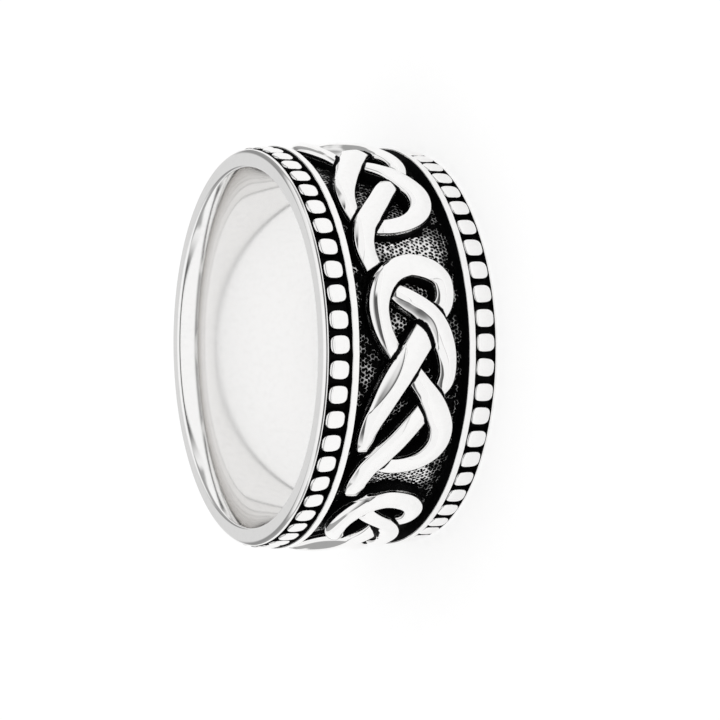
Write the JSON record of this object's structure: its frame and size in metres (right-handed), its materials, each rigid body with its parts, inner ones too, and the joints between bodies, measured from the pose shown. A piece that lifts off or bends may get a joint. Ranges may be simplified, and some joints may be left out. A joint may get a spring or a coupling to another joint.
{
  "type": "celtic band ring",
  "caption": "Cast silver finger ring: a wide band with two beaded edges and a raised interlaced knot in a dark sunk channel.",
  "frame": {"origin": "middle of the face that the ring rests on, on the finger's axis", "axes": "+Z along the finger's axis, out of the upper face; -Y towards the side that shows an arch of the knot 23 degrees round"},
  "size_m": [0.0236, 0.0236, 0.0105],
  "materials": {
    "silver": "polished sterling silver, oxidised black in the grooves and the channel"
  },
  "bodies": {
    "root": {"band_ring": "silver"}
  },
  "joints": []
}
